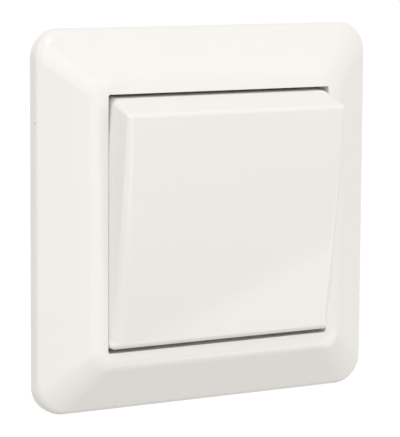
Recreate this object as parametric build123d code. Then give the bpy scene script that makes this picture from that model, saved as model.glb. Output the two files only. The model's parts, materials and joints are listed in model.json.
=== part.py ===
from build123d import *
import math
import os

# A rocker light switch for a round flush box. Lengths are in millimetres.
# Every piece is drawn in the wall's own frame: x to the right, y up, z out of the wall, with the
# wall's surface at z = 0. The last lines turn that frame so that the front looks along -Y, +Z up.

# Cover frame
frame_side = 85.0
frame_corner = 6.5
frame_edge = 3.5          # height of the side wall, up to where the flank begins
rim_height = 9.9
rim_width = 3.1
rim_corner = 4.5
opening_side = 56.8
opening_corner = 0.5
frame_wall = 2.0
collar_wall = 1.8
collar_back = 3.6         # height of the back edge of the wall round the opening
edge_round = 2.2
rim_round = 2.5
opening_bevel = 0.3
cavity_chamfer = 3.0
ceiling_chamfer = 1.0
rib_thickness = 1.2
rib_places = (-24.0, -12.0, 12.0, 24.0)

# Latches between frame and plate
latch_place = 18.0        # each latch's distance from the middle of its edge
hook_width = 6.0
hook_thickness = 1.4
hook_gap = 0.25
hook_foot = 0.4           # of the stem, behind the nose
nose_height = 1.1
nose_play = 0.25          # above and below the nose in its window

# Mounting plate
plate_inset = 7.0         # from the frame's edge to the plate's edge
plate_thickness = 1.0
plate_corner = 5.0
tab_width = 9.0
tab_height = 4.4
tab_bend = 0.9            # outer radius of the bend
tab_relief = 1.0
window_floor = 2.0
screw_spacing = 60.0
slot_width = 4.2
slot_length = 7.0
rivet_radius = 1.25
rivet_play = 0.05
rivet_head = 2.2
rivet_tail = 1.85
rivet_height = 0.8        # of head and tail
rivet_space = 0.7         # from the tail to the corner of the insert's body

# Insert body
flange_ledge = 2.0
flange_chamfer = 5.0
flange_thickness = 1.6
body_side = 42.0
body_chamfer = 7.0
body_depth = 20.0
deck_inset_x = 3.0        # from the body's sides to the deck's
deck_inset_y = 4.0
deck_corner = 3.0
deck_rise = 0.6           # the deck's front stands this far above the plate
deck_play = 0.3
well_half_width = 6.2
well_half_height = 16.0
well_front = 3.0          # depth of the well's front wall behind the wall's surface
pocket_inner = 7.6
pocket_wall = 3.6         # from the pockets to the body's sides
pocket_height = 15.2
pocket_split = 0.8        # from the middle to the upper and lower pockets
pocket_front = 6.6

# Rear cover
cover_thickness = 2.0
cover_chamfer = 0.6
pad_height = 0.8
port_radius = 1.8
port_flare = 0.8
port_place = 10.0
port_pitch = 10.0
snap_width = 8.0
snap_thickness = 1.3
snap_length = 8.0
snap_nose = 0.7
snap_nose_length = 1.4
snap_play = 0.12

# Rocker, with its swing
swing = 7.0
pivot_rise = 3.6          # from the deck's front to the pivot
side_gap = 0.38
top_gap = 0.52
foot_gap = 1.40
skirt_back = 4.0
skirt_slope = 0.06        # lean of the lower skirt
face_middle = 0.5         # height on the face where face_rise is measured
face_rise = 6.05          # the face above the rim
face_fall = 2.65          # from there to the lower edge, across the wedge
crest_rise = 0.45
crest_inset = 2.58
bevel_foot = 1.1          # from the rim down to the foot of the bevel
rocker_wall = 2.0
corner_round = 1.5
face_round = 1.0
leg_width = 5.0
leg_thickness = 1.2
leg_x = 7.0
leg_y = 9.0
leg_play = 0.2
barb_reach = 0.6
barb_length = 1.4
pad_width = 10.0
pad_thickness = 1.6
pad_space = 1.2           # between each leg and its pad

# Actuator and plunger
cradle_width = 24.0
cradle_height = 26.0
cradle_corner = 2.0
cradle_thickness = 3.0
cradle_rise = 0.8         # from the pivot to the back of the cradle
trunnion_radius = 2.0
trunnion_play = 0.06
boss_radius = 3.0
boss_length = 2.5
boss_play = 0.3
post_place = 13.2
post_thickness = 3.2
post_half = 4.0
barrel_radius = 3.8
barrel_room = 0.35
plunger_radius = 2.3
plunger_play = 0.1
plunger_reach = 6.2       # of the plunger, out of the barrel
plunger_neck = 2.0
plunger_guide = 4.0
tip_radius = 1.6
tip_play = 0.1
guide_pin_radius = 1.0
guide_pin_length = 3.0
spring_radius = 1.85
wire_radius = 0.25
wire_sides = 6
spring_turns = 4.0

# Contacts
bridge_swing = 19.0
bridge_width = 5.2
bridge_length = 22.0
bridge_thickness = 0.9
bridge_corner = 1.5
bridge_seat = 0.2         # from the knife edge's axis to the back of the bridge
knife_radius = 0.4
knife_play = 0.05
contact_place = 9.0
contact_radius = 1.6
contact_base = 0.3
contact_play = 0.08
dome_radius = 6.0
stud_radius = 1.7
stud_height = 0.8
stud_chamfer = 0.15
strip_thickness = 0.8
strip_play = 0.2
arm_half = 2.2
arm_end = 2.2             # of a terminal's arm, past the middle
arm_rest = 1.5            # from the rear cover to the terminals' arms
rest_play = 0.3

# Wire clamps and release buttons
clamp_thickness = 0.4
clamp_width = 3.6
clamp_bend = 1.4
crown_room = 1.4          # from the pocket's front wall to the clamp's bend
clamp_rise = 4.5          # from the rear cover to the clamp's tip
clamp_gap = 0.4           # from the clamp's tip to the strip
button_wall = 1.8         # from the pocket's outer end to the button
button_width = 3.4
button_half = 1.9
button_play = 0.15
button_proud = 0.5
button_round = 0.4
wing_half = 6.6
wing_thickness = 1.8
wing_play = 0.05
prong_width = 1.4
prong_half = 1.3
prong_gap = 0.35

# How shapes meet
clear = 1.0               # how far a cutting shape runs past the face that it cuts
let_in = 0.1              # how far a nose or a trunnion is let into the piece that carries it
edge_reach = 0.001        # how near an edge must be to count as lying at a height

# Values that follow from the ones above
frame_half = frame_side / 2
opening_half = opening_side / 2
rim_half = opening_half + rim_width
flank = (rim_height - frame_edge) / (frame_half - rim_half)
flank_wall = frame_wall * math.hypot(1, flank)
plate_half = frame_half - plate_inset
deck_width = body_side - 2 * deck_inset_x
deck_height = body_side - 2 * deck_inset_y
deck_front = plate_thickness + deck_rise
pivot = deck_front + pivot_rise
rest_tilt = swing / 2
rivet_place = (body_side - body_chamfer) / 2 + (rivet_tail + rivet_space) / math.sqrt(2)
cradle_back = pivot + cradle_rise
cradle_front = cradle_back + cradle_thickness
back = -body_depth
cover_back = back - cover_thickness
pad_back = cover_back - pad_height
pocket_middle = pocket_split + pocket_height / 2
pocket_outer = body_side / 2 - pocket_wall
button_outer = pocket_outer - button_wall
button_inner = button_outer - button_width
bridge_tilt = math.radians(bridge_swing / 2)
dome_height = dome_radius - math.sqrt(dome_radius ** 2 - contact_radius ** 2)
dome_centre = bridge_seat - contact_base - dome_height + dome_radius
closed_centre = dome_centre * math.cos(bridge_tilt) - contact_place * math.sin(bridge_tilt)
arm_back = back + arm_rest
arm_front = arm_back + strip_thickness
stud_front = arm_front + stud_height
bridge_axis = stud_front + contact_play + dome_radius - closed_centre
bridge_back = bridge_axis + bridge_seat
bridge_front = bridge_back + bridge_thickness
tip_back = bridge_front + tip_play
barrel_back = tip_back + plunger_reach
plunger_front = barrel_back + plunger_guide
clamp_crown = -pocket_front - crown_room
clamp_tip = back + clamp_rise
clamp_outer = pocket_outer - clamp_thickness / 2
clamp_inner = pocket_inner + strip_thickness + clamp_gap
terminals = {"common": (-1, 0.0), "upper": (1, pocket_middle), "lower": (1, -pocket_middle)}


def block(x, y, z):
    """A box from its three (low, high) pairs."""
    centre = Pos((x[0] + x[1]) / 2, (y[0] + y[1]) / 2, (z[0] + z[1]) / 2)
    return centre * Box(x[1] - x[0], y[1] - y[0], z[1] - z[0])


def sheet(half_x, half_y, corner, z):
    return Pos(0, 0, z) * RectangleRounded(2 * half_x, 2 * half_y, corner)


def slab(half_x, half_y, corner, low, high):
    return extrude(sheet(half_x, half_y, corner, low), high - low)


def octagon_sheet(side, corner, z):
    outline = Rectangle(side, side)
    return Pos(0, 0, z) * chamfer(outline.vertices(), corner)


def octagon(side, corner, low, high):
    return extrude(octagon_sheet(side, corner, low), high - low)


def hipped(half, corner, top_half, top_corner, low, high):
    """A block whose four flanks lean in from one rounded square to a smaller one."""
    return loft([sheet(half, half, corner, low), sheet(top_half, top_half, top_corner, high)], ruled=True)


def rod(radius, place, low, high):
    """A cylinder along z."""
    return extrude(Pos(place[0], place[1], low) * Circle(radius), high - low)


def cross_rod(radius, z, low, high):
    """A cylinder along x, on the line y = 0."""
    return extrude(Plane.YZ.offset(low) * Pos(0, z) * Circle(radius), high - low)


def at_height(part, z):
    return part.edges().filter_by_position(Axis.Z, z - edge_reach, z + edge_reach)


def across(half):
    return (-half, half)


def sided(side, x):
    """A (low, high) pair measured from the middle, on the left or the right side."""
    return (side * x[0], side * x[1]) if side > 0 else (side * x[1], side * x[0])


def fourfold(piece):
    """A piece with its mirror images left and right, above and below."""
    row = piece + mirror(piece, Plane.YZ)
    return row + mirror(row, Plane.XZ)


def tilted(part, degrees, z):
    """Turns a piece about the line y = 0 at height z. Positive turns bring its top outwards."""
    return Pos(0, 0, z) * Rot(degrees, 0, 0) * Pos(0, 0, -z) * part


def frame_body():
    outer = slab(frame_half, frame_half, frame_corner, 0, frame_edge)
    outer += hipped(frame_half, frame_corner, rim_half, rim_corner, frame_edge, rim_height)
    outer = fillet(at_height(outer, frame_edge), edge_round)
    outer = fillet(at_height(outer, rim_height), rim_round)
    outer -= slab(opening_half, opening_half, opening_corner, -clear, rim_height + clear)
    mouth_reach = opening_half + rim_width / 2
    mouth = at_height(outer, rim_height).filter_by(
        lambda e: max(abs(e.center().X), abs(e.center().Y)) < mouth_reach
    )
    return chamfer(mouth, opening_bevel)


def frame_cavity():
    half = frame_half - frame_wall
    edge = frame_edge + flank * frame_wall - flank_wall
    ceiling = rim_height - frame_wall
    ceiling_half = frame_half - (ceiling + flank_wall - frame_edge) / flank
    outline = octagon_sheet(2 * half, cavity_chamfer, edge)
    cavity = extrude(outline, -edge)
    cavity += loft([outline, octagon_sheet(2 * ceiling_half, ceiling_chamfer, ceiling)], ruled=True)
    collar_half = opening_half + collar_wall
    return cavity - slab(collar_half, collar_half, opening_corner + collar_wall, collar_back, rim_height)


def frame_ribs():
    """Four ribs behind each side of the frame; their back edges rest on the plate."""
    reach = (opening_half + collar_wall / 2, frame_half - frame_wall / 2)
    side = Part()
    for place in rib_places:
        x = (place - rib_thickness / 2, place + rib_thickness / 2)
        side += block(x, reach, (plate_thickness, rim_height))
    return Part() + [Rot(0, 0, turn) * side for turn in (0, 90, 180, 270)]


def frame_hooks():
    """Two latch hooks behind the top and two behind the bottom edge."""
    inner = plate_half + hook_gap
    root = inner + hook_thickness / 2
    point = plate_half - plate_thickness
    low = window_floor + nose_play
    high = low + nose_height
    stem = block(across(hook_width / 2), (inner, inner + hook_thickness), (low - hook_foot, rim_height))
    profile = Polygon(
        (root, low), (inner, low), (point, (low + high) / 2), (point, high), (root, high), align=None,
    )
    nose = extrude(Plane.YZ * profile, hook_width / 2, both=True)
    return fourfold(Pos(latch_place, 0, 0) * (stem + nose))


def cover_frame():
    body = frame_body()
    inside = (frame_ribs() + frame_hooks()) & body
    return body - frame_cavity() + inside


def latch_tab():
    """A tab bent up from the plate's edge, with the window that a hook's nose snaps into."""
    inner = plate_half - plate_thickness
    foot = plate_half - 2 * plate_thickness
    profile = Polygon(
        (foot, 0), (plate_half, 0), (plate_half, tab_height), (inner, tab_height),
        (inner, plate_thickness), (foot, plate_thickness), align=None,
    )
    bend = profile.vertices().sort_by(lambda v: v.Y - v.X)[0]
    tab = extrude(Plane.YZ * fillet(bend, tab_bend), tab_width / 2, both=True)
    window_top = window_floor + nose_height + 2 * nose_play
    return tab - block(across(hook_width / 2 + hook_gap), (0, frame_half), (window_floor, window_top))


def mounting_plate():
    plate = slab(plate_half, plate_half, plate_corner, 0, plate_thickness)
    relief_y = (plate_half - 2 * plate_thickness, frame_half)
    relief = block(across(tab_width / 2 + tab_relief), relief_y, (-clear, tab_height))
    plate -= fourfold(Pos(latch_place, 0, 0) * relief)
    plate += fourfold(Pos(latch_place, 0, 0) * latch_tab())
    half_x = deck_width / 2 + deck_play
    half_y = deck_height / 2 + deck_play
    plate -= slab(half_x, half_y, deck_corner + deck_play, -clear, plate_thickness + clear)
    for x in across(screw_spacing / 2):
        plate -= extrude(Pos(x, 0, -clear) * SlotOverall(slot_length, slot_width), plate_thickness + 2 * clear)
    return plate - rivet_rods(rivet_radius + rivet_play, -clear, plate_thickness + clear)


def rivet_rods(radius, low, high):
    return fourfold(rod(radius, (rivet_place, rivet_place), low, high))


def plate_rivets():
    shanks = rivet_rods(rivet_radius, -flange_thickness, plate_thickness)
    heads = rivet_rods(rivet_head, plate_thickness, plate_thickness + rivet_height)
    return shanks + heads + rivet_rods(rivet_tail, -flange_thickness - rivet_height, -flange_thickness)


def snap_pair(arm_y, nose_y, half, front, nose_back, end):
    """A straight arm with a nose that points inwards, above and below the insert."""
    arm = block(across(half), arm_y, (end, front))
    arm += block(across(half), nose_y, (nose_back, front))
    return arm + mirror(arm, Plane.XZ)


def snap_arms():
    outer = body_side / 2 - snap_play
    inner = outer - snap_thickness
    front = back + snap_length
    nose = (inner - snap_nose, inner + let_in)
    nose_back = front - snap_nose_length
    return snap_pair((inner, outer), nose, snap_width / 2, front, nose_back, (cover_back + back) / 2)


def snap_grooves():
    outer = body_side / 2
    inner = outer - snap_thickness - 2 * snap_play
    front = back + snap_length + snap_play
    nose = (inner - snap_nose - snap_play, inner + let_in)
    nose_back = front - snap_nose_length - 2 * snap_play
    return snap_pair((inner, outer + clear), nose, snap_width / 2 + snap_play, front, nose_back, back - clear)


def bearing_posts():
    """The two posts on the deck that the actuator's trunnions turn in."""
    post = block((0, post_thickness), across(post_half), (0, pivot))
    post += cross_rod(post_half, pivot, 0, post_thickness)
    post -= cross_rod(trunnion_radius + trunnion_play, pivot, -clear, post_thickness + clear)
    post = Pos(post_place, 0, 0) * post
    return post + mirror(post, Plane.YZ)


def barrel_slot():
    """The slot in the deck that the actuator's barrel swings in."""
    sway = (pivot + well_front) * math.sin(math.radians(rest_tilt))
    half = barrel_radius + barrel_room
    outline = SlotOverall(2 * (half + sway), 2 * half, rotation=90)
    return extrude(Pos(0, 0, -well_front - clear) * outline, deck_front + well_front + 2 * clear)


def pocket_range(middle, play):
    """The stretch of y that a terminal's pocket takes up, less some play at both ends."""
    return (middle - pocket_height / 2 + play, middle + pocket_height / 2 - play)


def arm_range(middle, play):
    """The stretch of y of a terminal's arm: the common one in the middle, the others at a contact."""
    place = 0.0 if middle == 0 else math.copysign(contact_place, middle)
    return (place - arm_half - play, place + arm_half + play)


def port_places(side, middle):
    return [(side * port_place, middle + step) for step in across(port_pitch / 2)]


def insert_base():
    body = octagon(body_side + 2 * flange_ledge, flange_chamfer, -flange_thickness, 0)
    body += octagon(body_side, body_chamfer, back, -flange_thickness)
    body += slab(deck_width / 2, deck_height / 2, deck_corner, 0, deck_front)
    body += bearing_posts()
    body -= block(across(well_half_width), across(well_half_height), (back - clear, -well_front))
    body -= barrel_slot()
    for side, middle in terminals.values():
        pocket_x = sided(side, (pocket_inner, pocket_outer))
        body -= block(pocket_x, pocket_range(middle, 0), (back - clear, -pocket_front))
        arm_x = sided(side, (0, pocket_inner + strip_thickness))
        body -= block(arm_x, arm_range(middle, strip_play), (back - clear, arm_front + strip_play))
    body -= rivet_rods(rivet_radius + rivet_play, -flange_thickness - clear, clear)
    return body - snap_grooves()


def wire_port(place):
    port = rod(port_radius, place, pad_back - clear, back + clear)
    flare = Cone(port_radius + port_flare, port_radius, port_flare)
    return port + Pos(place[0], place[1], pad_back + port_flare / 2) * flare


def rear_cover():
    cover = octagon(body_side, body_chamfer, cover_back, back)
    cover = chamfer(at_height(cover, cover_back), cover_chamfer)
    cover += snap_arms()
    for side, middle in terminals.values():
        pocket_x = sided(side, (pocket_inner, pocket_outer))
        cover += block(pocket_x, pocket_range(middle, strip_play), (pad_back, cover_back))
        rest_x = sided(side, (arm_end, well_half_width - rest_play))
        cover += block(rest_x, arm_range(middle, -rest_play), (back, arm_back))
    for side, middle in terminals.values():
        x = sided(side, (button_inner - button_play, button_outer + button_play))
        y = (middle - button_half - button_play, middle + button_half + button_play)
        cover -= block(x, y, (pad_back - clear, back + clear))
        for place in port_places(side, middle):
            cover -= wire_port(place)
    return cover


def terminal(side, middle):
    """A strip along the inner wall of its pocket, with an arm that reaches past the middle of the insert."""
    strip_x = sided(side, (pocket_inner, pocket_inner + strip_thickness))
    strip = block(strip_x, pocket_range(middle, strip_play), (back + strip_play, -pocket_front - strip_play))
    reach = sided(side, (-arm_end, pocket_inner + strip_thickness))
    return strip + block(reach, arm_range(middle, 0), (arm_back, arm_front))


def common_terminal():
    """A terminal with the knife edge that the bridge rocks on."""
    knife_x = (-bridge_width / 2, arm_end)
    knife = block(knife_x, across(knife_radius), (arm_front, bridge_axis))
    return terminal(*terminals["common"]) + knife + cross_rod(knife_radius, bridge_axis, *knife_x)


def fixed_contact(sign):
    stud = rod(stud_radius, (0, sign * contact_place), arm_front, stud_front)
    return chamfer(at_height(stud, stud_front), stud_chamfer)


def contact_bridge():
    half = bridge_width / 2
    bridge = block(across(half), across(bridge_length / 2), (bridge_back, bridge_front))
    bridge = fillet(bridge.edges().filter_by(Axis.Z), bridge_corner)
    bridge -= cross_rod(knife_radius + knife_play, bridge_axis, -half - clear, half + clear)
    return tilted(bridge, -bridge_swing / 2, bridge_axis)


def moving_contact(sign):
    place = (0, sign * contact_place)
    foot = bridge_back - contact_base
    head = rod(contact_radius, place, foot, bridge_back)
    ball = Pos(place[0], place[1], bridge_axis + dome_centre) * Sphere(dome_radius)
    dome = ball & rod(contact_radius, place, foot - dome_height, foot)
    return tilted(head + dome, -bridge_swing / 2, bridge_axis)


def rocker_section(inset):
    """The section in mid swing: foot, crowned face, crest and bevel. An inset gives the hollow, open behind."""
    foot = (foot_gap - opening_half, rim_height + face_rise - face_fall)
    top_y = opening_half - top_gap
    crest = (top_y - crest_inset, rim_height + face_rise + crest_rise)
    back_z = skirt_back - (inset + clear if inset else 0)
    heel = (foot[0] - skirt_slope * (foot[1] - back_z), back_z)
    face = ThreePointArc(foot, (face_middle, rim_height + face_rise), crest)
    rest = Polyline(crest, (top_y, rim_height - bevel_foot), (top_y, back_z), heel, foot)
    section = make_face(face.edges() + rest.edges())
    return offset(section, -inset, kind=Kind.INTERSECTION) if inset else section


def rocker_block(inset):
    """The section carried across the rocker's width."""
    return extrude(Plane.YZ * rocker_section(inset), opening_half - side_gap - inset, both=True)


def rocker_cap():
    cap = rocker_block(0)
    corners = cap.edges().filter_by(
        lambda e: abs(e.center().Y) > well_half_height and e.bounding_box().size.Z > rocker_wall
    )
    cap = fillet(corners, corner_round)
    front = cap.faces().sort_by(Axis.Z)[-1]
    return fillet(front.edges(), face_round) - rocker_block(rocker_wall)


def snap_legs():
    """The rocker's four legs, whose barbs catch behind the actuator's cradle."""
    x = (leg_x - leg_width / 2, leg_x + leg_width / 2)
    outer = leg_y + leg_thickness / 2
    stop = cradle_back - leg_play
    end = stop - barb_length
    leg = block(x, (leg_y - leg_thickness / 2, outer), (end, rim_height + face_rise))
    barb = Polygon((leg_y, end), (outer, end), (outer + barb_reach, stop), (leg_y, stop), align=None)
    leg += extrude(Plane.YZ.offset(x[0]) * barb, leg_width)
    return fourfold(leg)


def leg_slots():
    half = leg_width / 2 + leg_play
    inner = leg_y - leg_thickness / 2 - leg_play
    outer = leg_y + leg_thickness / 2 + leg_play + barb_reach
    slot = block((leg_x - half, leg_x + half), (inner, outer), (cradle_back - clear, cradle_front + clear))
    return fourfold(slot)


def seat_pads():
    """Ribs inside the rocker that rest on the cradle's front."""
    outer = leg_y - leg_thickness / 2 - pad_space
    x = (leg_x - pad_width / 2, leg_x + pad_width / 2)
    return fourfold(block(x, (outer - pad_thickness, outer), (cradle_front, rim_height + face_rise)))


def rocker():
    inside = (snap_legs() + seat_pads()) & rocker_block(rocker_wall / 2)
    return tilted(rocker_cap() + inside, rest_tilt, pivot)


def actuator():
    cradle = slab(cradle_width / 2, cradle_height / 2, cradle_corner, cradle_back, cradle_front)
    cradle -= leg_slots()
    cradle += rod(barrel_radius, (0, 0), barrel_back, cradle_back)
    boss_end = post_place - boss_play
    boss_x = (boss_end - boss_length, boss_end)
    boss = cross_rod(boss_radius, pivot, *boss_x)
    boss += block(boss_x, across(boss_radius), (pivot, cradle_back))
    boss += cross_rod(trunnion_radius, pivot, boss_end - let_in, post_place + post_thickness)
    cradle += boss + mirror(boss, Plane.YZ)
    cradle -= rod(plunger_radius + plunger_play, (0, 0), barrel_back - clear, pivot)
    return tilted(cradle, rest_tilt, pivot)


def plunger():
    shoulder = barrel_back - plunger_neck
    body = rod(plunger_radius, (0, 0), shoulder, plunger_front)
    pin = rod(guide_pin_radius, (0, 0), plunger_front, plunger_front + guide_pin_length)
    tip = rod(tip_radius, (0, 0), tip_back + tip_radius, shoulder)
    tip += Pos(0, 0, tip_back + tip_radius) * Sphere(tip_radius)
    return tilted(body + pin + tip, rest_tilt, pivot)


def plunger_spring():
    low = plunger_front + wire_radius
    height = pivot - wire_radius - low
    path = Helix(height / spring_turns, height, spring_radius, center=(0, 0, low))
    section = Plane(origin=path @ 0, z_dir=path % 0) * RegularPolygon(wire_radius, wire_sides)
    return tilted(sweep(section, path), rest_tilt, pivot)


def clamp(side, place):
    """A leaf bent into a narrow V: one leg along the pocket's outer wall, the other slanting to the strip."""
    corners = ((clamp_outer, back + strip_play), (clamp_outer, clamp_crown), (clamp_inner, clamp_tip))
    line = FilletPolyline(*corners, radius=clamp_bend)
    leaf = extrude(Plane.XZ * trace(line, clamp_thickness), clamp_width / 2, both=True)
    leaf = leaf if side > 0 else mirror(leaf, Plane.YZ)
    return Pos(0, place[1], 0) * leaf


def release(side, middle):
    """A button in the rear cover whose two prongs press the pair of clamps open."""
    wing_back = back + wing_play
    wing_front = wing_back + wing_thickness
    slant = (clamp_crown - clamp_tip) / (clamp_outer - clamp_inner)
    prong_front = clamp_tip + (button_inner - clamp_inner) * slant - clamp_thickness - prong_gap
    x = (button_inner, button_outer)
    button = block(x, across(button_half), (pad_back - button_proud, wing_front))
    button = fillet(at_height(button, pad_back - button_proud), button_round)
    button += block(x, across(wing_half), (wing_back, wing_front))
    for y in across(port_pitch / 2):
        prong_x = (button_inner, button_inner + prong_width)
        button += block(prong_x, (y - prong_half, y + prong_half), (wing_front, prong_front))
    button = button if side > 0 else mirror(button, Plane.YZ)
    return Pos(0, middle, 0) * button


def pieces():
    found = {
        "cover_frame": cover_frame(), "mounting_plate": mounting_plate(), "plate_rivets": plate_rivets(),
        "insert_base": insert_base(), "rear_cover": rear_cover(), "rocker": rocker(), "actuator": actuator(),
        "plunger": plunger(), "plunger_spring": plunger_spring(), "contact_bridge": contact_bridge(),
        "common_terminal": common_terminal(),
    }
    for name, sign in (("upper", 1), ("lower", -1)):
        found[name + "_terminal"] = terminal(*terminals[name])
        found[name + "_fixed_contact"] = fixed_contact(sign)
        found[name + "_moving_contact"] = moving_contact(sign)
    for name, (side, middle) in terminals.items():
        found[name + "_release"] = release(side, middle)
        for letter, place in zip("ab", port_places(side, middle)):
            found[name + "_clamp_" + letter] = clamp(side, place)
    return found


os.makedirs("parts", exist_ok=True)
wall = Plane(origin=(0, 0, 0), x_dir=(1, 0, 0), z_dir=(0, -1, 0))
for node, shape in pieces().items():
    placed = wall.location * shape
    export_step(placed, "parts/" + node + ".step")
    print(node, len(placed.solids()), round(placed.volume, 2))
print("bridge axis", round(-bridge_axis, 4), "rivet place", round(rivet_place, 3))
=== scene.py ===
import json
import math

import bmesh
import bpy
import numpy as np
from mathutils import Matrix, Quaternion, Vector


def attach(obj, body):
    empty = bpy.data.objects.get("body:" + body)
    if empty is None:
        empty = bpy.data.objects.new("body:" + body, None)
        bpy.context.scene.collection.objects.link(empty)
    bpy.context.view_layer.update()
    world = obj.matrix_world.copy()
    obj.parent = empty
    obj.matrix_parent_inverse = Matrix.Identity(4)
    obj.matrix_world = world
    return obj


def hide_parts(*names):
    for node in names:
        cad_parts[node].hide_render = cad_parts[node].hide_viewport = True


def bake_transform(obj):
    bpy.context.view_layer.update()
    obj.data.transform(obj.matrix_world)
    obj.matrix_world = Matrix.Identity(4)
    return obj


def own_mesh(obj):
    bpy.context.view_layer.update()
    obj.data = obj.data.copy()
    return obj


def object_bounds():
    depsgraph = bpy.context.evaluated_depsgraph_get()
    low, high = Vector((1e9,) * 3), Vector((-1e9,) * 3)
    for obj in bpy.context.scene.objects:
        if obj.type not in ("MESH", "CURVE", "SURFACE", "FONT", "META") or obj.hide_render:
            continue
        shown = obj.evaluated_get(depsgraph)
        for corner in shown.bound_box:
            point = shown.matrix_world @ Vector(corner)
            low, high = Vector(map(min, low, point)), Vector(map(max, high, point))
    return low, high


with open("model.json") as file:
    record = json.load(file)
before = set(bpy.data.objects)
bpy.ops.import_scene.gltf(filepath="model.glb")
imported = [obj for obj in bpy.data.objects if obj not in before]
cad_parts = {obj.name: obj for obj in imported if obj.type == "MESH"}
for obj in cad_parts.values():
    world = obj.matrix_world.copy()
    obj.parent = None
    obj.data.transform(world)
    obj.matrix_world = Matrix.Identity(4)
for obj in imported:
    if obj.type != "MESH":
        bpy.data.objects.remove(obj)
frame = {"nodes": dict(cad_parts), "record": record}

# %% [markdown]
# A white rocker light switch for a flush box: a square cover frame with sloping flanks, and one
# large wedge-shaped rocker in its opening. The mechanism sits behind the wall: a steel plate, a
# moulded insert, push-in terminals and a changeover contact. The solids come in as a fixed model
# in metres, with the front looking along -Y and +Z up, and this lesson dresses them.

MM = 0.001
cad_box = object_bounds()
cad_size = [round((high - low) / MM, 1) for low, high in zip(*cad_box)]
print("solid model, mm:", cad_size, "nodes:", len(frame["nodes"]))

# %% [markdown]
# The camera stands half a metre away, to the left of the switch and a little above it, with a long
# lens. Its place, aim and lens were worked out from the corners of the frame and of the opening in
# the photograph. A camera looks along its own -Z, so its axes are put into a matrix as columns.

# %% Set up the camera
IMAGE_HEIGHT = 437
FOCAL_PIXELS = 2317.6
camera_place = np.array([-263.14, -450.23, 68.09])
camera_yaw = math.radians(30.34)
camera_pitch = math.radians(7.59)
camera_roll = math.radians(0.35)

ahead = Vector((
    math.sin(camera_yaw) * math.cos(camera_pitch),
    math.cos(camera_yaw) * math.cos(camera_pitch),
    -math.sin(camera_pitch),
))
level = ahead.cross(Vector((0, 0, 1))).normalized()
upright = level.cross(ahead)
right = level * math.cos(camera_roll) + upright * math.sin(camera_roll)
up = upright * math.cos(camera_roll) - level * math.sin(camera_roll)

camera = bpy.data.objects.new("camera", bpy.data.cameras.new("camera"))
camera.data.sensor_width = 36.0
camera.data.lens = FOCAL_PIXELS * camera.data.sensor_width / IMAGE_HEIGHT
camera.data.clip_start = 0.01
camera_turn = Matrix((right, up, -ahead)).transposed().to_4x4()
camera.matrix_world = Matrix.Translation(camera_place * MM) @ camera_turn
bpy.context.scene.collection.objects.link(camera)
bpy.context.scene.camera = camera
print("lens, mm:", round(camera.data.lens, 1))

# %% [markdown]
# Every finish below is a small tree of shader nodes. One function adds a node, gives its properties
# and sockets their values and joins its inputs. Colours are written as screen hex values and turned
# into linear light by one function. A pattern's scale is worked out from a real size.

# %% Helpers for finishes


def linear(hex_colour):
    """Screen colour to linear light: a straight toe below 0.04045, and above it a power of 2.4."""
    screen = np.array([int(hex_colour[i:i + 2], 16) for i in (1, 3, 5)]) / 255
    light = np.where(screen <= 0.04045, screen / 12.92, ((screen + 0.055) / 1.055) ** 2.4)
    return (*light.tolist(), 1.0)


def per_metre(size_mm):
    """How many features of that size lie in a metre, which is what a texture's scale asks for."""
    return 1.0 / (size_mm * MM)


def add_node(tree, kind, values=None, links=None):
    """Adds a node. A key that names an input sets its value or link; any other key is a property."""
    node = tree.nodes.new("ShaderNode" + kind)
    for key, value in (values or {}).items():
        if isinstance(key, int) or key in node.inputs:
            node.inputs[key].default_value = value
        else:
            setattr(node, key, value)
    for key, output in (links or {}).items():
        tree.links.new(output, node.inputs[key])
    return node


def new_material(name):
    """An empty material, its node tree, and the Object coordinates that its patterns read."""
    material = bpy.data.materials.new(name)
    material.use_nodes = True
    material.node_tree.nodes.clear()
    coordinates = add_node(material.node_tree, "TexCoord")
    return material, material.node_tree, coordinates.outputs["Object"]


print("helpers for finishes are ready")

# %% [markdown]
# The light is that of a packshot. A bright tent stands all round, and it is the world's own light.
# What the camera, a glossy surface or glass sees of it is plain white, which gives the white ground
# of the photograph without more light on the switch. The tent could be a dome of real lamps, but
# one value for the world is simpler and even.

# %% Put up the light tent
world = bpy.data.worlds.new("light_tent")
bpy.context.scene.world = world
world.use_nodes = True
world.node_tree.nodes.clear()
TENT_LIGHT = 0.78


def seen_directly(tree):
    """1 for rays from the camera, from a glossy surface or through glass, and 0 for diffuse light."""
    rays = add_node(tree, "LightPath").outputs
    seen = rays["Is Camera Ray"]
    for other in ("Is Glossy Ray", "Is Transmission Ray"):
        seen = add_node(tree, "Math", {"operation": "MAXIMUM"}, {0: seen, 1: rays[other]}).outputs[0]
    return seen


tent = add_node(world.node_tree, "Background", {"Color": linear("#ffffff"), "Strength": TENT_LIGHT})
ground = add_node(world.node_tree, "Background", {"Color": linear("#ffffff"), "Strength": 1.0})
tent_or_ground = add_node(
    world.node_tree, "MixShader", None,
    {0: seen_directly(world.node_tree), 1: tent.outputs[0], 2: ground.outputs[0]},
)
add_node(world.node_tree, "OutputWorld", None, {"Surface": tent_or_ground.outputs[0]})
print("tent light:", TENT_LIGHT)

# %% [markdown]
# Four lamps give the forms their shade. A broad one stands in front, as bright as the tent looks in
# the gloss, so that it leaves no edge there. A softer one on the left lights the side that the camera
# sees. A small bright one above gives the little highlights at the corners. The last is a white card,
# low on the right, whose slanting edge shows in the glossy face of the rocker.

# %% Add the lamps


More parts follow.
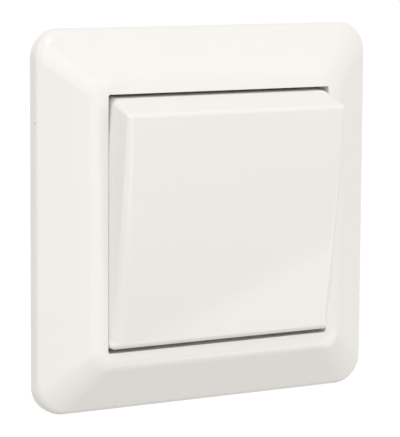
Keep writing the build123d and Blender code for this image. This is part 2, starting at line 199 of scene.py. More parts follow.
def add_lamp(name, place, size, watts, turn=0.0):
    """A square lamp, with its place and size in metres, that faces the middle of the switch.

    The turn, in degrees, is about the line from the lamp to the switch.
    """
    lamp = bpy.data.objects.new(name, bpy.data.lights.new(name, "AREA"))
    lamp.data.size = size
    lamp.data.energy = watts
    lamp.location = place
    facing = (-Vector(place)).to_track_quat("-Z", "Y")
    lamp.rotation_euler = (facing @ Quaternion((0, 0, 1), math.radians(turn))).to_euler()
    bpy.context.scene.collection.objects.link(lamp)
    print("lamp", name, watts, "W")


add_lamp("lamp_above", place=(-0.32, -0.74, 0.74), size=0.3, watts=1.48)
add_lamp("lamp_left", place=(-1.1, -0.1, 0.2), size=1.0, watts=2.45)
add_lamp("lamp_front", place=(-0.08, -1.3, 0.0), size=1.5, watts=7.0)
add_lamp("card_low_right", place=(0.469, -0.369, -0.365), size=0.4, watts=0.63, turn=-16.2)

# %% [markdown]
# The switch belongs on a wall, so it hangs in its own frame above a plain pale floor. The floor
# takes the shadow of the switch; a little light of its own, for direct rays only, keeps the rest
# of it white.

# %% Lay the floor
FLOOR_DROP = 0.45
FLOOR_HALF = 12.0
FLOOR_GLOW = 0.76
floor_material, tree, _ = new_material("matte_pale_grey_floor_paint")
paint = add_node(tree, "BsdfDiffuse", {"Color": linear("#9f9f9e")})
glow = add_node(tree, "Math", {"operation": "MULTIPLY", 1: FLOOR_GLOW}, {0: seen_directly(tree)})
own_light = add_node(tree, "Emission", {"Color": linear("#ffffff")}, {"Strength": glow.outputs[0]})
floor_surface = add_node(tree, "AddShader", None, {0: paint.outputs[0], 1: own_light.outputs[0]})
add_node(tree, "OutputMaterial", None, {"Surface": floor_surface.outputs[0]})

floor_mesh = bpy.data.meshes.new("floor")
square = np.array([(-1, -1, 0), (1, -1, 0), (1, 1, 0), (-1, 1, 0)])
floor_corners = square * FLOOR_HALF - (0, 0, FLOOR_DROP)
floor_mesh.from_pydata(floor_corners.tolist(), [], [(0, 1, 2, 3)])
floor_mesh.materials.append(floor_material)
floor = bpy.data.objects.new("floor", floor_mesh)
bpy.context.scene.collection.objects.link(floor)
print("floor", FLOOR_DROP, "m below the middle of the switch")

# %% [markdown]
# The cover frame and the rocker are injection-moulded from a white thermoplastic in polished
# moulds. To the eye that is a smooth, glossy, faintly warm white with very little relief: a slight
# waviness from shrinkage that only bends the reflections. Two close whites in soft clouds, a low
# relief and a polish that varies a little give that. One tiny dark speck sits on the left edge of
# the frame in the photograph, and it is kept, as a spot round one place.

# %% Finish: glossy injection-moulded thermoplastic, white
gloss_white, tree, place = new_material("gloss_white_moulded_thermoplastic")
SPECK_PLACE = (-42.5, -2.6, 22.2)
SPECK_RADIUS = 0.3
SPECK_STRENGTH = 0.5
CLOUD_SIZE = 18.0
WAVE_SIZE = 2.5
WAVE_HEIGHT = 0.004
cloud = add_node(tree, "TexNoise", {"Scale": per_metre(CLOUD_SIZE), "Detail": 2.0}, {"Vector": place})
white = add_node(
    tree, "MixRGB", {"Color1": linear("#f3efeb"), "Color2": linear("#f1eee9")},
    {"Fac": cloud.outputs["Fac"]},
)
away = add_node(
    tree, "VectorMath", {"operation": "DISTANCE", 1: Vector(SPECK_PLACE) * MM}, {0: place},
)
speck = add_node(
    tree, "MapRange",
    {
        "From Min": SPECK_RADIUS * MM / 2, "From Max": SPECK_RADIUS * MM,
        "To Min": SPECK_STRENGTH, "To Max": 0.0,
    },
    {"Value": away.outputs["Value"]},
)
white_with_speck = add_node(
    tree, "MixRGB", {"Color2": linear("#6a665c")}, {"Fac": speck.outputs[0], "Color1": white.outputs[0]},
)
waviness = add_node(tree, "TexNoise", {"Scale": per_metre(WAVE_SIZE), "Detail": 1.0}, {"Vector": place})
relief = add_node(
    tree, "Bump", {"Strength": 0.25, "Distance": WAVE_HEIGHT * MM}, {"Height": waviness.outputs["Fac"]},
)
polish = add_node(
    tree, "MapRange", {"To Min": 0.06, "To Max": 0.10}, {"Value": cloud.outputs["Fac"]},
)
surface = add_node(
    tree, "BsdfPrincipled", {"IOR": 1.5},
    {"Base Color": white_with_speck.outputs[0], "Roughness": polish.outputs[0], "Normal": relief.outputs[0]},
)
add_node(tree, "OutputMaterial", None, {"Surface": surface.outputs[0]})
print("made", gloss_white.name)

# %% [markdown]
# New pieces are made from surfaces worked out as whole arrays. Each surface is an array of points
# and a list of faces that number them. A curved one is a grid, and a rib or a hook is a flat outline
# carried straight through its thickness. Several surfaces can be put together as one.

# %% Helpers for surfaces


def grid_faces(rows, columns, close_rows=False, close_columns=False):
    """The four-sided faces between neighbouring points of a grid, row by row."""
    index = np.arange(rows * columns).reshape(rows, columns)
    index = np.vstack([index, index[:1]]) if close_rows else index
    index = np.hstack([index, index[:, :1]]) if close_columns else index
    quads = np.stack([index[:-1, :-1], index[:-1, 1:], index[1:, 1:], index[1:, :-1]], axis=-1)
    return quads.reshape(-1, 4).tolist()


def joined(surfaces):
    """Several (points, faces) pairs as one, with the face numbers moved on."""
    starts = np.cumsum([0] + [len(points) for points, _ in surfaces])
    faces = [[start + i for i in face] for start, (_, some) in zip(starts, surfaces) for face in some]
    return np.vstack([points for points, _ in surfaces]), faces


def prism(outline, low, high):
    """A flat outline of (u, v) points, carried straight along w from low to high and closed at both ends."""
    count = len(outline)
    ends = [np.column_stack([outline, np.full(count, w)]) for w in (low, high)]
    caps = [list(range(count)), list(range(count, 2 * count))]
    return np.vstack(ends), grid_faces(2, count, close_columns=True) + caps


def unit(vectors):
    """Vectors divided by their own lengths."""
    return vectors / np.linalg.norm(vectors, axis=-1, keepdims=True)


print("helpers for surfaces are ready")

# %% [markdown]
# A surface becomes a piece in a few steps: its shared borders are welded, its faces turned outwards,
# and its sharp edges marked. A Weighted Normal modifier then lets the large flat faces rule the
# shading, so that a rounded edge catches the light and the flat beside it stays flat. Where a piece
# needs broken edges, a Bevel modifier cuts them.

# %% Helper: from a surface to a piece
WELD = 0.001
SHARP_ANGLE = math.radians(32)
FLAT_ANGLE = math.radians(0.5)
BEVEL_ANGLE = math.radians(40)
BEVEL_STEPS = 2


def add_piece(name, surface, body, material, cuts=(), bevel=0.0):
    """Puts a surface in millimetres into a welded, closed mesh in metres that rides on a body.

    Cuts are places along X where an edge is added all round. The bevel is the width of broken edges.
    """
    points, faces = surface
    mesh = bpy.data.meshes.new(name)
    mesh.from_pydata((points * MM).tolist(), [], faces)
    shape = bmesh.new()
    shape.from_mesh(mesh)
    bmesh.ops.remove_doubles(shape, verts=shape.verts, dist=WELD * MM)
    bmesh.ops.dissolve_degenerate(shape, edges=shape.edges, dist=WELD * MM)
    for place in cuts:
        whole = [*shape.verts, *shape.edges, *shape.faces]
        bmesh.ops.bisect_plane(shape, geom=whole, plane_co=(place * MM, 0, 0), plane_no=(1, 0, 0))
    if bevel:
        bmesh.ops.dissolve_limit(shape, angle_limit=FLAT_ANGLE, verts=shape.verts, edges=shape.edges)
    bmesh.ops.recalc_face_normals(shape, faces=shape.faces)
    open_edges = sum(1 for edge in shape.edges if not edge.is_manifold)
    shape.to_mesh(mesh)
    shape.free()
    mesh.shade_smooth()
    mesh.set_sharp_from_angle(angle=SHARP_ANGLE)
    mesh.materials.append(material)
    piece = bpy.data.objects.new(name, mesh)
    bpy.context.scene.collection.objects.link(piece)
    if bevel:
        broken = piece.modifiers.new("broken_edges", "BEVEL")
        broken.width = bevel * MM
        broken.segments = BEVEL_STEPS
        broken.angle_limit = BEVEL_ANGLE
    shading = piece.modifiers.new("flats_stay_flat", "WEIGHTED_NORMAL")
    shading.keep_sharp = True
    if body:
        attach(piece, body)
    print(name, len(mesh.vertices), "points,", len(mesh.polygons), "faces, open edges:", open_edges)
    return piece


print("helper for pieces is ready")

# %% [markdown]
# The sections of frame and rocker are outlines with straight sides and round corners. An outline is
# given by its sharp corners and a radius for each, as on a drawing, and its points are worked out
# from that. The same directions at the corners also give the outline at a distance inside, for the
# far side of a wall.

# %% Helpers for outlines


def corner_directions(corners):
    """At each corner of a closed outline: its bisector, its direction along and half its angle.

    Both directions are unit vectors, the sum and the difference of those to the last and next corners.
    """
    to_last = unit(np.roll(corners, 1, axis=0) - corners)
    to_next = unit(np.roll(corners, -1, axis=0) - corners)
    half_angle = np.arccos(np.clip((to_last * to_next).sum(axis=1), -1, 1)) / 2
    return unit(to_last + to_next), unit(to_next - to_last), half_angle


def moved_inwards(corners, distance):
    """The outline at a distance inside.

    Each corner goes along its bisector by the distance divided by the sine of half its angle.
    """
    inward, _, half_angle = corner_directions(corners)
    return corners + inward * (distance / np.sin(half_angle))[:, None]


def rounded_outline(corners, radii, steps):
    """A closed outline whose corners are arcs.

    An arc's centre is the corner moved inwards by its radius, and its points sweep evenly from one
    tangent to the other, over 180 degrees less the angle of the corner.
    """
    inward, along, half_angle = corner_directions(corners)
    centres = corners + inward * (radii / np.sin(half_angle))[:, None]
    sweep = np.linspace(-1, 1, steps) * (np.pi / 2 - half_angle)[:, None]
    spokes = along[:, None] * np.sin(sweep)[..., None] - inward[:, None] * np.cos(sweep)[..., None]
    return (centres[:, None] + spokes * radii[:, None, None]).reshape(-1, 2)


print("helpers for outlines are ready")

# %% [markdown]
# The cover frame is one moulding: a low side wall, a flank that slopes up to a narrow rim, and a
# collar round the opening, hollow behind. Its corners are round outside and almost sharp at the
# opening, so it isn't one section swept with a fixed turn. Here each point of the section has its
# own half size, height and plan radius, and is carried round a square with corners of that radius.

# %% Piece: the cover frame
FRAME_HALF = 42.5
FRAME_EDGE = 3.5
RIM_HALF = 31.5
RIM_HEIGHT = 9.9
OPENING_HALF = 28.4
FRAME_WALL = 2.0
COLLAR_HALF = 30.2
COLLAR_BACK = 3.6
FRAME_CORNER = 6.5
RIM_CORNER = 4.5
OPENING_CORNER = 0.5
FRAME_EDGE_ROUND = 2.2
RIM_ROUND = 5.0
OPENING_ROUND = 0.08
ARC_STEPS = 9
CORNER_STEPS = 25

flank = (RIM_HEIGHT - FRAME_EDGE) / (FRAME_HALF - RIM_HALF)
flank_wall = FRAME_WALL * math.hypot(1, flank)
ceiling = RIM_HEIGHT - FRAME_WALL
ceiling_half = FRAME_HALF - (ceiling + flank_wall - FRAME_EDGE) / flank
inner_edge = FRAME_EDGE + flank * FRAME_WALL - flank_wall
inner_corner = FRAME_CORNER - FRAME_WALL
collar_corner = OPENING_CORNER + COLLAR_HALF - OPENING_HALF

# Each row: half size, height above the wall, radius of the edge, radius of the corner in plan.
frame_section = np.array([
    (FRAME_HALF, 0.0, 0.25, FRAME_CORNER),
    (FRAME_HALF, FRAME_EDGE, FRAME_EDGE_ROUND, FRAME_CORNER),
    (RIM_HALF, RIM_HEIGHT, RIM_ROUND, RIM_CORNER),
    (OPENING_HALF, RIM_HEIGHT, OPENING_ROUND, OPENING_CORNER),
    (OPENING_HALF, COLLAR_BACK, 0.2, OPENING_CORNER),
    (COLLAR_HALF, COLLAR_BACK, 0.2, collar_corner),
    (COLLAR_HALF, ceiling, 0.3, collar_corner),
    (ceiling_half, ceiling, 0.3, RIM_CORNER - FRAME_WALL),
    (FRAME_HALF - FRAME_WALL, inner_edge, 0.5, inner_corner),
    (FRAME_HALF - FRAME_WALL, 0.0, 0.25, inner_corner),
])


def carried_round_square(section, radii, steps):
    """Each section point (half size, height) goes round a square with corners of its own radius.

    In each quarter the point is at the corner's centre, (half - radius) out both ways, plus the radius
    along an angle that runs over 90 degrees; the straight sides join the quarters.
    """
    half, height = section.T
    angle = (np.arange(4)[:, None] * np.pi / 2 + np.linspace(0, np.pi / 2, steps)).ravel()
    side_x = np.repeat([1, -1, -1, 1], steps)
    side_z = np.repeat([1, 1, -1, -1], steps)
    centre = (half - radii)[:, None]
    x = centre * side_x + radii[:, None] * np.cos(angle)
    z = centre * side_z + radii[:, None] * np.sin(angle)
    y = np.broadcast_to(-height[:, None], x.shape)
    points = np.stack([x, y, z], axis=-1)
    return points.reshape(-1, 3), grid_faces(*x.shape, close_rows=True, close_columns=True)


frame_line = rounded_outline(frame_section[:, :2], frame_section[:, 2], ARC_STEPS)
frame_radii = np.repeat(frame_section[:, 3], ARC_STEPS)
cover = add_piece(
    "cover_frame_moulding", carried_round_square(frame_line, frame_radii, CORNER_STEPS),
    "base", gloss_white,
)
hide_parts("cover_frame")

# %% [markdown]
# Behind the front the moulding is stiffened by four ribs on each side, which rest on the steel
# plate, and held by four latch hooks that snap into the plate's tabs. Each rib or hook is a flat
# outline, given as distance from the middle and height above the wall, carried through its own
# thickness, and then turned to its side of the frame.

# %% Pieces: ribs and latch hooks behind the frame
PLATE_HALF = 35.5
PLATE_THICKNESS = 1.0
RIB_THICKNESS = 1.2
RIB_PLACES = (-24.0, -12.0, 12.0, 24.0)
HOOK_WIDTH = 6.0
HOOK_THICKNESS = 1.4
HOOK_PLACES = (-18.0, 18.0)
HOOK_GAP = 0.25
HOOK_BACK = 1.85
NOSE_HEIGHTS = (2.25, 2.8, 3.35)


def mid_wall(distance):
    """Height of the middle of the frame's wall.

    It is the flank's line less half the wall's upright thickness, and at most the middle of the rim.
    """
    sloping = FRAME_EDGE + flank * (FRAME_HALF - distance) - flank_wall / 2
    return min(sloping, RIM_HEIGHT - FRAME_WALL / 2)


def behind_frame(outline, places, thickness, quarters):
    """Copies of one outline (distance, height), side by side at the places and on the named quarters.

    A quarter turn takes (along, distance) to the x and z of its side of the frame.
    """
    copies = []
    for place in places:
        points, faces = prism(np.array(outline), place - thickness / 2, place + thickness / 2)
        distance, height, along = points.T
        for quarter in quarters:
            turn = quarter * math.pi / 2
            x = along * math.cos(turn) - distance * math.sin(turn)
            z = along * math.sin(turn) + distance * math.cos(turn)
            copies.append((np.column_stack([x, -height, z]), faces))
    return joined(copies)


rib_inner = (OPENING_HALF + COLLAR_HALF) / 2
rib_outer = FRAME_HALF - FRAME_WALL / 2
rib_bend = FRAME_HALF - (RIM_HEIGHT - FRAME_WALL / 2 + flank_wall / 2 - FRAME_EDGE) / flank
rib_outline = [
    (rib_inner, PLATE_THICKNESS), (rib_outer, PLATE_THICKNESS), (rib_outer, mid_wall(rib_outer)),
    (rib_bend, mid_wall(rib_bend)), (rib_inner, mid_wall(rib_inner)),
]
add_piece(
    "cover_frame_ribs", behind_frame(rib_outline, RIB_PLACES, RIB_THICKNESS, range(4)),
    "base", gloss_white,
)
hook_inner = PLATE_HALF + HOOK_GAP
hook_outer = hook_inner + HOOK_THICKNESS
nose_point = PLATE_HALF - PLATE_THICKNESS
nose_low, nose_middle, nose_high = NOSE_HEIGHTS
hook_outline = [
    (hook_outer, HOOK_BACK), (hook_outer, mid_wall(hook_outer)), (hook_inner, mid_wall(hook_inner)),
    (hook_inner, nose_high), (nose_point, nose_high), (nose_point, nose_middle), (hook_inner, nose_low),
    (hook_inner, HOOK_BACK),
]
add_piece(
    "cover_frame_hooks", behind_frame(hook_outline, HOOK_PLACES, HOOK_WIDTH, (0, 2)),
    "base", gloss_white,
)

# %% [markdown]
# The rocker is a hollow wedge. Its section, seen from the side, has a leaning foot, a face with a
# slight crown, a crest and a steep bevel up to the top edge. The section is carried across the
# width, and near both ends it shrinks along its own inward direction while a quarter turn runs
# out, which rounds the edges all the way round. The sides are straight up to a shoulder just above
# the frame's rim and lean in above it. Near the top they give way a little, so that the rocker clears
# the frame as it tips. It is drawn in the middle of its swing, and later tilted into its place of
# rest, about the line that it turns on.

# %% The rocker's section
PIVOT = 5.2
REST_TILT = math.radians(3.5)
ROCKER_HALF = 28.35
SIDE_LEAN = math.tan(math.radians(3.2))
SHOULDER_RISE = 0.15
TOP_RELIEF = 0.55
RELIEF_FROM = 18.0
RELIEF_FADE = 5.0
ROCKER_WALL = 2.0
SKIRT_BACK = 4.0
SKIRT_SLOPE = 0.06
FOOT = np.array([-27.0, 13.3])
FACE_MIDDLE = np.array([0.5, 15.95])
CREST = np.array([25.3, 16.4])
BEVEL_FOOT = np.array([27.88, 8.8])
FOOT_ROUND = 1.6
CREST_ROUND = 1.2
TOP_ROUND = 2.0
STRAIGHT_AT_EDGES = 1.8
SECTION_STEPS = 13


def tangent_corner(first, middle, last):
    """The corner where the end tangents of the arc through three points meet, and the arc's radius.

    An arc over a chord c that rises by s has the radius c²/8s + s/2, and its end tangents meet above
    the chord's middle, at c²/4 divided by (radius - s).
    """
    chord = last - first
    length = np.linalg.norm(chord)
    normal = np.array([-chord[1], chord[0]]) / length
    share = (middle - first) @ chord / length ** 2
    rise = (middle - first) @ normal / (4 * share * (1 - share))
    radius = length ** 2 / (8 * rise) + rise / 2
    return (first + last) / 2 + normal * (length ** 2 / 4) / (radius - rise), radius


def heel_at(height):
    """The foot's point at a height: it leans outwards to the back by a fixed slope."""
    return np.array([FOOT[0] - SKIRT_SLOPE * (FOOT[1] - height), height])


def shoulder_at(height):
    """Where the straight skirt ends and the leaning side begins: just above the frame's rim at rest."""
    above_pivot = RIM_HEIGHT + SHOULDER_RISE - PIVOT - height * math.sin(REST_TILT)
    return PIVOT + above_pivot / math.cos(REST_TILT)


def side_at(height, out):
    """Half the width: straight up to the shoulder, then leaning in.

    Near the top edge it is relieved in proportion to the height above a start, and the relief fades
    out above the shoulder.
    """
    above = np.maximum(out - shoulder_at(height), 0)
    relief = TOP_RELIEF * np.clip((height - RELIEF_FROM) / (BEVEL_FOOT[0] - RELIEF_FROM), 0, 1)
    return ROCKER_HALF - SIDE_LEAN * above - relief * np.clip(1 - above / RELIEF_FADE, 0, 1)


crown, crown_radius = tangent_corner(FOOT, FACE_MIDDLE, CREST)
crown_reach = np.linalg.norm(CREST - crown)
crown_arc = crown_radius * (crown_reach - STRAIGHT_AT_EDGES) / crown_reach
section_corners = np.array([
    heel_at(SKIRT_BACK), FOOT, crown, CREST, BEVEL_FOOT, (BEVEL_FOOT[0], SKIRT_BACK),
])
corner_radii = np.array([0.0, FOOT_ROUND, crown_arc, CREST_ROUND, TOP_ROUND, 0.0])

# The edges at both sides have their own rounds, from the foot up to the top edge.
EDGE_PLACES = (FOOT[0], FOOT[0] + 2.5, CREST[0] - 2.0, CREST[0], BEVEL_FOOT[0] - 0.5, BEVEL_FOOT[0])
EDGE_ROUNDS = (1.1, 2.5, 1.3, 0.8, 0.8, 1.8)
print("the face is crowned to a radius of", round(crown_radius), "mm")

# %% [markdown]
# The skin of the rocker is a grid: along the section one way, across the width the other way. It
# could be a box with a Bevel modifier, but then every edge would have the same round. Here the round
# changes along the edge, as it does on the moulding.

# %% Helpers for the rocker


def across_width(section, edge, half, steps):
    """The section at stations across the width.

    At each side a quarter turn t runs from 0 to 90 degrees: the section moves inwards, along its own
    normal, by edge * (1 - cos t), and stands at half - edge * (1 - sin t) from the middle.
    """
    run = np.gradient(section, axis=0)
    inward = unit(np.column_stack([run[:, 1], -run[:, 0]]))
    turn = np.concatenate([np.linspace(np.pi / 2, 0, steps), np.linspace(0, np.pi / 2, steps)])
    side = np.repeat([-1, 1], steps)
    sideways = side * (half[:, None] - edge[:, None] * (1 - np.sin(turn)))
    moved = section[:, None] + inward[:, None] * (edge[:, None] * (1 - np.cos(turn)))[..., None]
    return np.concatenate([sideways[..., None], moved], axis=-1)


def at_rest(points):
    """Points (across, up, out) of the upright drawing, in the model's frame.

    Up and out are turned by the tilt of rest about the pivot line; out then points along -Y.
    """
    across, upwards, out = points.T
    cos, sin = math.cos(REST_TILT), math.sin(REST_TILT)
    height = upwards * cos - (out - PIVOT) * sin
    depth = PIVOT + upwards * sin + (out - PIVOT) * cos
    return np.column_stack([across, -depth, height])


def open_line(corners, radii):
    """The rounded outline without its straight side at the back: its two end points stay single."""
    arcs = rounded_outline(corners, radii, SECTION_STEPS).reshape(-1, SECTION_STEPS, 2)
    return np.vstack([arcs[0, :1], arcs[1:-1].reshape(-1, 2), arcs[-1, :1]])


def side_wall(rim):
    """One side of the rocker: the skin's rim, the shoulder behind it and the back edge, row by row."""
    across, height, out = rim.T
    rows = [rim]
    for depth in (np.minimum(out, shoulder_at(height)), np.full(len(rim), SKIRT_BACK)):
        row = np.column_stack([np.sign(across) * side_at(height, depth), height, depth])
        row[[0, -1]] = rim[[0, -1]]
        rows.append(row)
    return np.vstack(rows), grid_faces(3, len(rim))


print("helpers for the rocker are ready")

# %% [markdown]
# The hollow of the rocker is a plain prism, whose outline is the section moved inwards by the wall.
# It is open at the back, where a flat rim in four pieces joins it to the skin and to both sides. The
# skin, the hollow and the sides are put together first, so that the rim can number their points.

# %% Piece: the rocker
skin_line = open_line(section_corners, corner_radii)
skin_edge = np.interp(skin_line[:, 0], EDGE_PLACES, EDGE_ROUNDS)
skin_half = side_at(*skin_line.T)
skin = across_width(skin_line, skin_edge, skin_half, ARC_STEPS)
skin_index = np.arange(skin.shape[0] * skin.shape[1]).reshape(skin.shape[:2])
skin_faces = grid_faces(*skin_index.shape)
sides = [side_wall(skin[:, end]) for end in (0, -1)]

open_corners = section_corners.copy()
open_corners[0] = heel_at(SKIRT_BACK - ROCKER_WALL)
open_corners[-1, 1] = SKIRT_BACK - ROCKER_WALL
hollow_radii = np.maximum(corner_radii - ROCKER_WALL, 0)
hollow_line = open_line(moved_inwards(open_corners, ROCKER_WALL), hollow_radii)
hollow, hollow_faces = prism(hollow_line, ROCKER_WALL - ROCKER_HALF, ROCKER_HALF - ROCKER_WALL)
hollow = hollow[:, [2, 0, 1]]
last = len(hollow_line) - 1

# The face between the outline's first and last points would close the back.
hollow_faces = [face for face in hollow_faces if not ({0, last} <= set(face) and len(face) == 4)]
hollow_ends = np.array([0, last, last + 1, 2 * last + 1]) + skin_index.size
heel_left, top_left, heel_right, top_right = hollow_ends
side_rows = skin_index.size + len(hollow) + np.arange(6 * len(skin_line)).reshape(6, -1)
back_rim = [
    skin_index[0].tolist() + [heel_right, heel_left],
    skin_index[-1].tolist() + [top_right, top_left],
    side_rows[2].tolist() + [top_left, heel_left],
    side_rows[5].tolist() + [top_right, heel_right],
]
points, faces = joined([(skin.reshape(-1, 3), skin_faces), (hollow, hollow_faces), *sides])
rocker = add_piece(
    "rocker_moulding", (at_rest(points), faces + back_rim), "rocker", gloss_white,
)
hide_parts("rocker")

# %% [markdown]
# Inside, four barbed legs reach through the actuator's cradle and catch behind it, and four short
# ribs rest on its front. Both are outlines of height and depth, carried across their width, and
# let into the rocker's wall by half its thickness.

# %% Pieces: legs and seat ribs inside the rocker
LEG_ACROSS = 7.0
LEG_HEIGHT = 9.0
LEG_WIDTH = 5.0
LEG_THICKNESS = 1.2
BARB_REACH = 0.6
BARB_BACK = 4.4
BARB_STOP = 5.8
SEAT_SPACE = 1.2
SEAT_THICKNESS = 1.6
SEAT_WIDTH = 10.0
CRADLE_FRONT = 9.0


def mid_face(height):
    """Middle of the rocker's front wall at a height: the skin's line less half the wall."""
    return np.interp(height, *skin_line.T) - ROCKER_WALL / 2


def inside_rocker(outline_at, width):
    """Copies of an outline (height, depth) above and below the middle, each at both sides."""
    copies = []
    for side in (-1, 1):
        for end in (-1, 1):
            middle = side * LEG_ACROSS
            points, faces = prism(outline_at(end), middle - width / 2, middle + width / 2)
            copies.append((at_rest(points[:, [2, 0, 1]]), faces))
    return joined(copies)


def leg_outline(end):
    """A straight leg, with a barb on its outer side that slopes out from the tip to a square stop."""
    inner, outer = LEG_HEIGHT - LEG_THICKNESS / 2, LEG_HEIGHT + LEG_THICKNESS / 2
    front = mid_face(end * LEG_HEIGHT)
    barb = [(outer, BARB_BACK), (outer + BARB_REACH, BARB_STOP), (outer, BARB_STOP)]
    return np.array([(inner, BARB_BACK), *barb, (outer, front), (inner, front)]) * (end, 1)


def seat_outline(end):
    """A plain rib inside the leg, from the rocker's wall down to the front of the cradle."""
    outer = LEG_HEIGHT - LEG_THICKNESS / 2 - SEAT_SPACE
    inner = outer - SEAT_THICKNESS
    front = mid_face(end * outer)
    corners = [(inner, CRADLE_FRONT), (outer, CRADLE_FRONT), (outer, front), (inner, front)]
    return np.array(corners) * (end, 1)


add_piece("rocker_legs", inside_rocker(leg_outline, LEG_WIDTH), "rocker", gloss_white)
add_piece("rocker_seat_ribs", inside_rocker(seat_outline, SEAT_WIDTH), "rocker", gloss_white)

# %% [markdown]
# The hidden plastics are matte. The insert and its rear cover are pressed from an off-white
# thermoset, which is dense and slightly mottled. The actuator and the plunger are natural
# polyamide, and the release buttons grey polyamide, both with the fine grain of an eroded mould.
# One function makes all three, from two close colours, a patch size, a grain size and a polish. A
# mould's grain is finer than a tenth of a millimetre, so it is drawn coarser here, to show at all.

# %% Finishes: matte moulded plastics


def matte_plastic(name, pale, deep, patch_mm, grain_mm, grain_depth_mm, polish):
    """Two close colours in soft patches, under a fine grain that is both relief and polish."""
    material, tree, place = new_material(name)
    patches = add_node(tree, "TexNoise", {"Scale": per_metre(patch_mm), "Detail": 4.0}, {"Vector": place})
    colour = add_node(
        tree, "MixRGB", {"Color1": linear(deep), "Color2": linear(pale)}, {"Fac": patches.outputs["Fac"]},
    )
    grain = add_node(tree, "TexNoise", {"Scale": per_metre(grain_mm), "Detail": 3.0}, {"Vector": place})
    relief = add_node(
        tree, "Bump", {"Strength": 0.6, "Distance": grain_depth_mm * MM}, {"Height": grain.outputs["Fac"]},
    )
    sheen = add_node(
        tree, "MapRange", {"To Min": polish[0], "To Max": polish[1]}, {"Value": grain.outputs["Fac"]},
    )
    surface = add_node(
        tree, "BsdfPrincipled", {"IOR": 1.5},
        {"Base Color": colour.outputs[0], "Roughness": sheen.outputs[0], "Normal": relief.outputs[0]},
    )
    add_node(tree, "OutputMaterial", None, {"Surface": surface.outputs[0]})
    print("made", name)
    return material


finishes = {
    "gloss_white": gloss_white,
    "insert_plastic": matte_plastic(
        "off_white_pressed_thermoset", pale="#e9e7e1", deep="#dcd9d1",
        patch_mm=6.0, grain_mm=0.5, grain_depth_mm=0.02, polish=(0.40, 0.58),
    ),
    "mechanism_plastic": matte_plastic(
        "natural_moulded_polyamide", pale="#dad8d0", deep="#cfccc1",
        patch_mm=9.0, grain_mm=0.4, grain_depth_mm=0.015, polish=(0.35, 0.5),
    ),
    "release_plastic": matte_plastic(
        "grey_moulded_polyamide", pale="#92959a", deep="#84878c",
        patch_mm=9.0, grain_mm=0.4, grain_depth_mm=0.02, polish=(0.38, 0.55),
    ),
}

# %% [markdown]
# The metals are stamped from rolled strip: zinc-plated steel for the plate and its rivets, bare
# spring steel, brass, and a silver alloy for the contacts. Rolling leaves faint lines along one
# direction, and plating or handling a cloudy variation over them. The lines are noise drawn out
# along the rolling direction, a few times wider than real ones so that they show. The clouds are
# plain noise.

# %% Finishes: rolled and stamped metals
DRAWN_OUT = (0.04, 1.0, 1.0)
LINE_DEPTH = 0.006


def rolled_metal(name, pale, deep, cloud_mm, line_mm, polish):
    """Two close metal colours in clouds, with fine lines along X in relief and polish."""
    material, tree, place = new_material(name)
    clouds = add_node(tree, "TexNoise", {"Scale": per_metre(cloud_mm), "Detail": 5.0}, {"Vector": place})
    colour = add_node(
        tree, "MixRGB", {"Color1": linear(deep), "Color2": linear(pale)}, {"Fac": clouds.outputs["Fac"]},
    )
    drawn = add_node(tree, "Mapping", {"Scale": DRAWN_OUT}, {"Vector": place})
    lines = add_node(
        tree, "TexNoise", {"Scale": per_metre(line_mm), "Detail": 2.0}, {"Vector": drawn.outputs[0]},
    )
    relief = add_node(
        tree, "Bump", {"Strength": 0.35, "Distance": LINE_DEPTH * MM}, {"Height": lines.outputs["Fac"]},
    )
    both = add_node(
        tree, "Math", {"operation": "MULTIPLY"}, {0: lines.outputs["Fac"], 1: clouds.outputs["Fac"]},
    )
    sheen = add_node(
        tree, "MapRange", {"From Max": 0.6, "To Min": polish[0], "To Max": polish[1]},
        {"Value": both.outputs[0]},
    )
    surface = add_node(
        tree, "BsdfPrincipled", {"Metallic": 1.0},
        {"Base Color": colour.outputs[0], "Roughness": sheen.outputs[0], "Normal": relief.outputs[0]},
    )
    add_node(tree, "OutputMaterial", None, {"Surface": surface.outputs[0]})
    print("made", name)
    return material


finishes["zinc_steel"] = rolled_metal(
    "zinc_plated_stamped_steel", pale="#c6c9ca", deep="#a6aaad",
    cloud_mm=5.0, line_mm=0.35, polish=(0.24, 0.44),
)
finishes["rivet_steel"] = rolled_metal(
    "zinc_plated_rivet_steel", pale="#b5b7b8", deep="#9a9d9f",
    cloud_mm=2.0, line_mm=0.3, polish=(0.25, 0.4),
)
finishes["spring_steel"] = rolled_metal(
    "bare_spring_steel", pale="#a9acae", deep="#8f9295",
    cloud_mm=3.0, line_mm=0.2, polish=(0.22, 0.36),
)
finishes["brass"] = rolled_metal(
    "bare_stamped_brass", pale="#c9a55c", deep="#a88444",
    cloud_mm=4.0, line_mm=0.3, polish=(0.22, 0.4),
)
finishes["silver"] = rolled_metal(
    "silver_alloy_contact", pale="#dadad6", deep="#c2c2bd",
    cloud_mm=1.5, line_mm=0.2, polish=(0.2, 0.35),
)

# %% [markdown]
# The plunger's spring is wound from round steel wire. A ring of points is carried along a helix,
# which gives a true round wire with few points. As the plunger goes in, the spring gets shorter
# towards its seat at the rocker; here it rides on the rocker, with a mesh of its own.

# %% Piece: the plunger's spring
SPRING_RADIUS = 1.85
WIRE_RADIUS = 0.25
SPRING_TURNS = 4
SPRING_BACK = -3.54
TURN_STEPS = 36
RING_STEPS = 10


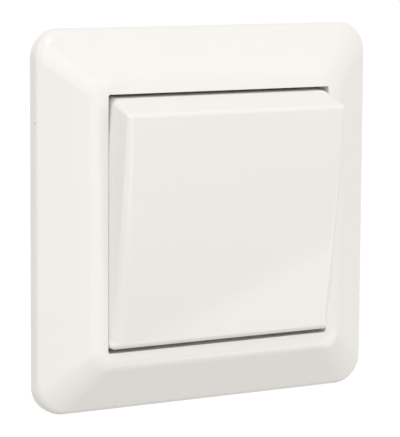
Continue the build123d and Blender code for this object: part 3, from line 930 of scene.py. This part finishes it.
def wound_wire(radius, wire, turns, low, high):
    """A round wire along a helix, in the upright drawing of the rocker.

    At an angle t the wire's middle is at the radius from the axis and rises evenly from low to high.
    Round it runs a ring, spanned by the outward direction and the one square to it and to the wire.
    """
    t = np.linspace(0, 2 * np.pi * turns, turns * TURN_STEPS + 1)
    outward = np.column_stack([np.cos(t), np.sin(t), np.zeros_like(t)])
    middle = outward * radius + np.column_stack([0 * t, 0 * t, np.linspace(low, high, len(t))])
    square = unit(np.cross(np.gradient(middle, axis=0), outward))
    ring = np.linspace(0, 2 * np.pi, RING_STEPS, endpoint=False)[:, None]
    points = middle[:, None] + wire * (outward[:, None] * np.cos(ring) + square[:, None] * np.sin(ring))
    count = points.shape[0] * RING_STEPS
    ends = [list(range(RING_STEPS)), list(range(count - RING_STEPS, count))]
    return at_rest(points.reshape(-1, 3)), grid_faces(len(t), RING_STEPS, close_columns=True) + ends


coil = wound_wire(
    SPRING_RADIUS, WIRE_RADIUS, SPRING_TURNS, SPRING_BACK + WIRE_RADIUS, PIVOT - WIRE_RADIUS,
)
spring = add_piece("plunger_spring_wire", coil, "rocker", finishes["spring_steel"])
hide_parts("plunger_spring")
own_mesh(spring)

# %% [markdown]
# A wire is held by a leaf bent into a narrow V. One leg stands against the wall; the other slants
# across and bites. When the button behind it is pressed, its prong pushes the slanting leg away, so
# that leg has to bend with the button while the standing one stays. The leaf is a copy of the solid
# one, cut across at a few places along the stretch where it would bend.

# %% Pieces: the leaf clamps
LEAF_STANDS = 16.0
LEAF_PRESSED = 12.3
LEAF_CUTS = 7


def solid_surface(node):
    """The points, in millimetres, and the faces of a node of the solid model."""
    mesh = frame["nodes"][node].data
    points = np.array([vertex.co for vertex in mesh.vertices]) / MM
    return points, [list(face.vertices) for face in mesh.polygons]


for terminal, side in (("common", -1), ("upper", 1), ("lower", 1)):
    for letter in "ab":
        node = f"{terminal}_clamp_{letter}"
        leaf = add_piece(
            node + "_leaf", solid_surface(node), None, finishes["spring_steel"],
            cuts=np.linspace(LEAF_STANDS, LEAF_PRESSED, LEAF_CUTS) * side,
        )
        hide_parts(node)
        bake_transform(leaf)

# %% [markdown]
# The hidden mouldings and the stamped plate have no knife edges either: a mould's edges are a
# little round, and a punch rolls the edge of the sheet. Each is a copy of the solid one, with its
# flat faces made whole and a narrow bevel along every edge.

# %% Pieces: mouldings and plate with broken edges
BROKEN_EDGES = {
    "insert_base": 0.2, "rear_cover": 0.3, "mounting_plate": 0.12,
    "common_release": 0.15, "upper_release": 0.15, "lower_release": 0.15,
}
slot_of = {subpart["node"]: subpart["material_slot"] for subpart in frame["record"]["subparts"]}
for node, width in BROKEN_EDGES.items():
    body = node if node.endswith("release") else "base"
    softened = add_piece(
        node + "_softened", solid_surface(node), body, finishes[slot_of[node]], bevel=width,
    )
    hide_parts(node)

# %% [markdown]
# The record of the model says which slot each node belongs to. The nodes whose shapes are right as
# they are take the finish of their slot.

# %% Give the nodes their finishes
for node, slot in slot_of.items():
    for material_slot in frame["nodes"][node].material_slots:
        material_slot.material = finishes[slot]
print("finished", len(slot_of), "nodes in", len(finishes), "finishes")

# %% [markdown]
# The view stays plain: no film curve, so that a colour shows as it is written.

# %% Keep the view plain
bpy.context.scene.view_settings.view_transform = "Standard"
